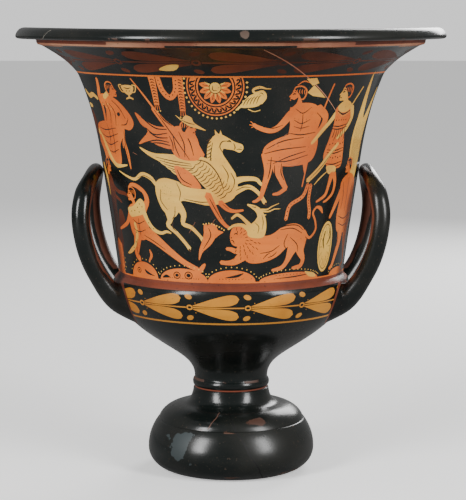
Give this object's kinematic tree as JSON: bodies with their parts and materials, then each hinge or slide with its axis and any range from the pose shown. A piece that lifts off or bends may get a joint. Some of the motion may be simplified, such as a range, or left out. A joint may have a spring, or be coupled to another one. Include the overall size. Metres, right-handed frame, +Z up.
{
  "type": "calyx krater",
  "caption": "Large footed mixing bowl of fired clay with a flaring mouth, an overhanging lip, a stem, a bellied foot and upright loop handles low on its sides, painted black and orange.",
  "frame": {"origin": "middle of the flat resting ring under the foot", "axes": "+Z up along the axis of the vessel, +X towards one handle, -Y towards the painted front"},
  "size_m": [0.4804, 0.4804, 0.5015],
  "materials": {
    "fired_clay": "glossy black slip over orange clay, with reserved orange figures and added cream"
  },
  "bodies": {
    "root": {"krater": "fired_clay"}
  },
  "joints": []
}
